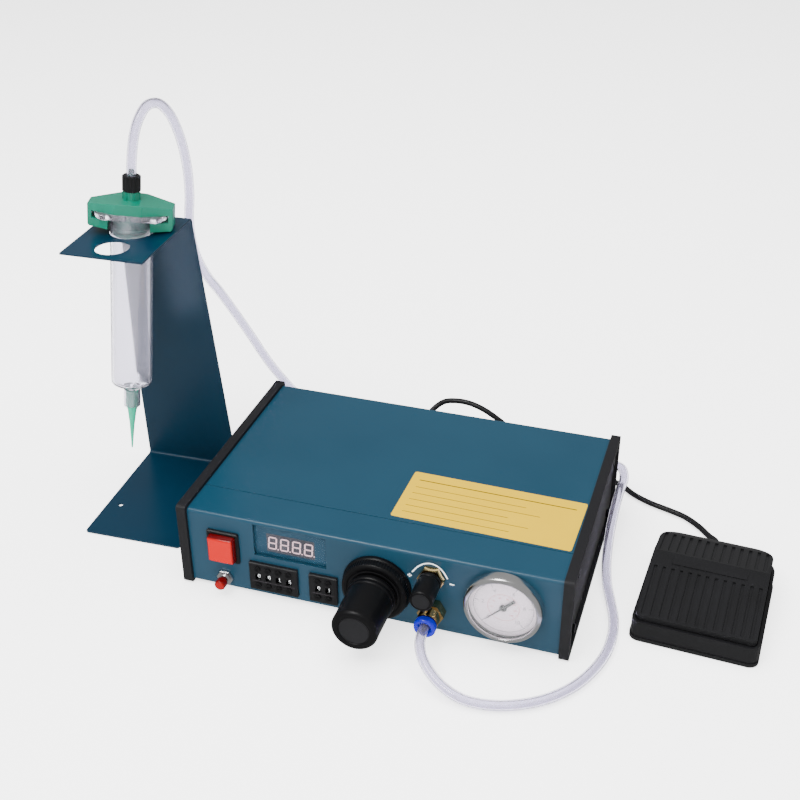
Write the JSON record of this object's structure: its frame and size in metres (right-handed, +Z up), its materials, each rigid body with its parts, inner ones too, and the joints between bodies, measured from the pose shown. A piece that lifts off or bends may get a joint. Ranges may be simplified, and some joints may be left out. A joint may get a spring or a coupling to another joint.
{
  "type": "glue dispenser",
  "caption": "Bench-top air glue dispenser: low controller with gauge, regulator and number wheels, a bent-sheet stand holding a syringe, and a foot switch on a cable.",
  "frame": {"origin": "middle of the bounding box of everything but the hose, the cable and the cable's plug, on the bench that it stands on", "axes": "+X to the right along the controller's front, +Y from the front to the back, +Z up"},
  "size_m": [0.4333, 0.2508, 0.2687],
  "materials": {
    "case_blue": "satin powder coat",
    "frame_black": "fine matt powder coat",
    "plated_steel": "zinc plated",
    "red_button": "glossy, translucent",
    "display_filter": "smoked acrylic",
    "circuit_board": "solder mask",
    "black_plastic": "fine texture",
    "knob_black": "smooth",
    "brass": "turned",
    "release_blue": "smooth",
    "chrome": "polished",
    "gauge_window": "clear",
    "pointer_dark": "matt",
    "winding_steel": "laminated, varnished",
    "valve_metal": "machined",
    "clear_plastic": "translucent polypropylene",
    "adapter_green": "translucent green",
    "tip_green": "translucent green",
    "hose_clear": "clear polyurethane",
    "cable_black": "satin PVC"
  },
  "bodies": {
    "dispenser": {"side_frame_left": "frame_black", "side_frame_right": "frame_black", "side_screws": "plated_steel", "top_cover": "case_blue", "front_panel": "case_blue", "chassis": "case_blue", "power_button_housing": "black_plastic", "shot_button_bush": "plated_steel", "display_window": "display_filter", "control_board": "circuit_board", "timer_wheel_block": "black_plastic", "mode_wheel_block": "black_plastic", "regulator_body": "knob_black", "regulator_collar": "knob_black", "vacuum_valve_body": "brass", "outlet_fitting": "brass", "gauge_case": "black_plastic", "gauge_bezel": "chrome", "gauge_lens": "gauge_window", "transformer": "winding_steel", "solenoid_valve": "valve_metal", "mains_inlet": "black_plastic", "air_inlet_fitting": "brass", "pedal_socket": "plated_steel", "pedal_plug": "plated_steel", "stand_sheet": "case_blue", "syringe_barrel": "clear_plastic", "syringe_adapter": "adapter_green", "hose_nut": "black_plastic", "dispensing_tip": "tip_green", "air_hose": "hose_clear", "pedal_base": "black_plastic", "pedal_switch": "black_plastic", "pedal_spring": "plated_steel", "pedal_cord": "cable_black"},
    "power_button_cap": {"power_button_cap": "red_button"},
    "shot_button_cap": {"shot_button_cap": "red_button"},
    "outlet_release_ring": {"outlet_release_ring": "release_blue"},
    "plus_button_1": {"plus_button_1": "black_plastic"},
    "plus_button_2": {"plus_button_2": "black_plastic"},
    "plus_button_3": {"plus_button_3": "black_plastic"},
    "plus_button_4": {"plus_button_4": "black_plastic"},
    "plus_button_5": {"plus_button_5": "black_plastic"},
    "plus_button_6": {"plus_button_6": "black_plastic"},
    "minus_button_1": {"minus_button_1": "black_plastic"},
    "minus_button_2": {"minus_button_2": "black_plastic"},
    "minus_button_3": {"minus_button_3": "black_plastic"},
    "minus_button_4": {"minus_button_4": "black_plastic"},
    "minus_button_5": {"minus_button_5": "black_plastic"},
    "minus_button_6": {"minus_button_6": "black_plastic"},
    "number_wheel_1": {"number_wheel_1": "black_plastic"},
    "number_wheel_2": {"number_wheel_2": "black_plastic"},
    "number_wheel_3": {"number_wheel_3": "black_plastic"},
    "number_wheel_4": {"number_wheel_4": "black_plastic"},
    "number_wheel_5": {"number_wheel_5": "black_plastic"},
    "number_wheel_6": {"number_wheel_6": "black_plastic"},
    "regulator_knob": {"regulator_knob": "knob_black"},
    "vacuum_knob": {"vacuum_knob": "knob_black"},
    "gauge_pointer": {"gauge_pointer": "pointer_dark"},
    "pedal_treadle": {"pedal_treadle": "black_plastic"}
  },
  "joints": [
    {"name": "power_button_press", "type": "slide", "parent": "dispenser", "child": "power_button_cap", "axis": [0, 1, 0], "range_m": [0, 0.003], "stiffness_N_per_m": 600},
    {"name": "shot_button_press", "type": "slide", "parent": "dispenser", "child": "shot_button_cap", "axis": [0, 1, 0], "range_m": [0, 0.0016], "stiffness_N_per_m": 400},
    {"name": "outlet_ring_press", "type": "slide", "parent": "dispenser", "child": "outlet_release_ring", "axis": [0, 1, 0], "range_m": [0, 0.001], "stiffness_N_per_m": 800},
    {"name": "plus_button_1_press", "type": "slide", "parent": "dispenser", "child": "plus_button_1", "axis": [0, 1, 0], "range_m": [0, 0.0012], "stiffness_N_per_m": 300},
    {"name": "plus_button_2_press", "type": "slide", "parent": "dispenser", "child": "plus_button_2", "axis": [0, 1, 0], "range_m": [0, 0.0012], "stiffness_N_per_m": 300},
    {"name": "plus_button_3_press", "type": "slide", "parent": "dispenser", "child": "plus_button_3", "axis": [0, 1, 0], "range_m": [0, 0.0012], "stiffness_N_per_m": 300},
    {"name": "plus_button_4_press", "type": "slide", "parent": "dispenser", "child": "plus_button_4", "axis": [0, 1, 0], "range_m": [0, 0.0012], "stiffness_N_per_m": 300},
    {"name": "plus_button_5_press", "type": "slide", "parent": "dispenser", "child": "plus_button_5", "axis": [0, 1, 0], "range_m": [0, 0.0012], "stiffness_N_per_m": 300},
    {"name": "plus_button_6_press", "type": "slide", "parent": "dispenser", "child": "plus_button_6", "axis": [0, 1, 0], "range_m": [0, 0.0012], "stiffness_N_per_m": 300},
    {"name": "minus_button_1_press", "type": "slide", "parent": "dispenser", "child": "minus_button_1", "axis": [0, 1, 0], "range_m": [0, 0.0012], "stiffness_N_per_m": 300},
    {"name": "minus_button_2_press", "type": "slide", "parent": "dispenser", "child": "minus_button_2", "axis": [0, 1, 0], "range_m": [0, 0.0012], "stiffness_N_per_m": 300},
    {"name": "minus_button_3_press", "type": "slide", "parent": "dispenser", "child": "minus_button_3", "axis": [0, 1, 0], "range_m": [0, 0.0012], "stiffness_N_per_m": 300},
    {"name": "minus_button_4_press", "type": "slide", "parent": "dispenser", "child": "minus_button_4", "axis": [0, 1, 0], "range_m": [0, 0.0012], "stiffness_N_per_m": 300},
    {"name": "minus_button_5_press", "type": "slide", "parent": "dispenser", "child": "minus_button_5", "axis": [0, 1, 0], "range_m": [0, 0.0012], "stiffness_N_per_m": 300},
    {"name": "minus_button_6_press", "type": "slide", "parent": "dispenser", "child": "minus_button_6", "axis": [0, 1, 0], "range_m": [0, 0.0012], "stiffness_N_per_m": 300},
    {"name": "number_wheel_1_turn", "type": "hinge", "parent": "dispenser", "child": "number_wheel_1", "pos_m": [-0.0794, -0.0581, 0.0154], "axis": [1, 0, 0], "continuous": true},
    {"name": "number_wheel_2_turn", "type": "hinge", "parent": "dispenser", "child": "number_wheel_2", "pos_m": [-0.0728, -0.0581, 0.0154], "axis": [1, 0, 0], "continuous": true},
    {"name": "number_wheel_3_turn", "type": "hinge", "parent": "dispenser", "child": "number_wheel_3", "pos_m": [-0.0662, -0.0581, 0.0154], "axis": [1, 0, 0], "continuous": true},
    {"name": "number_wheel_4_turn", "type": "hinge", "parent": "dispenser", "child": "number_wheel_4", "pos_m": [-0.0596, -0.0581, 0.0154], "axis": [1, 0, 0], "continuous": true},
    {"name": "number_wheel_5_turn", "type": "hinge", "parent": "dispenser", "child": "number_wheel_5", "pos_m": [-0.04111, -0.0581, 0.0154], "axis": [1, 0, 0], "continuous": true},
    {"name": "number_wheel_6_turn", "type": "hinge", "parent": "dispenser", "child": "number_wheel_6", "pos_m": [-0.03451, -0.0581, 0.0154], "axis": [1, 0, 0], "continuous": true},
    {"name": "regulator_knob_turn", "type": "hinge", "parent": "dispenser", "child": "regulator_knob", "pos_m": [-0.00429, -0.0847, 0.0261], "axis": [0, 1, 0], "range_deg": [0, 1800]},
    {"name": "vacuum_knob_turn", "type": "hinge", "parent": "dispenser", "child": "vacuum_knob", "pos_m": [0.02861, -0.0767, 0.0403], "axis": [0, -1, 0], "range_deg": [0, 1440]},
    {"name": "gauge_pointer_turn", "type": "hinge", "parent": "dispenser", "child": "gauge_pointer", "pos_m": [0.07129, -0.0663, 0.0308], "axis": [0, 1, 0], "range_deg": [0, 270], "stiffness_Nm_per_rad": 0.0002, "springref_deg": -17.19},
    {"name": "pedal_treadle_press", "type": "hinge", "parent": "dispenser", "child": "pedal_treadle", "pos_m": [0.1799, 0.04018, 0.009], "axis": [0.9984, -0.0558, 0], "range_deg": [0, 2.5], "stiffness_Nm_per_rad": 5, "springref_deg": -3.44, "deforming": ["pedal_spring"]}
  ]
}
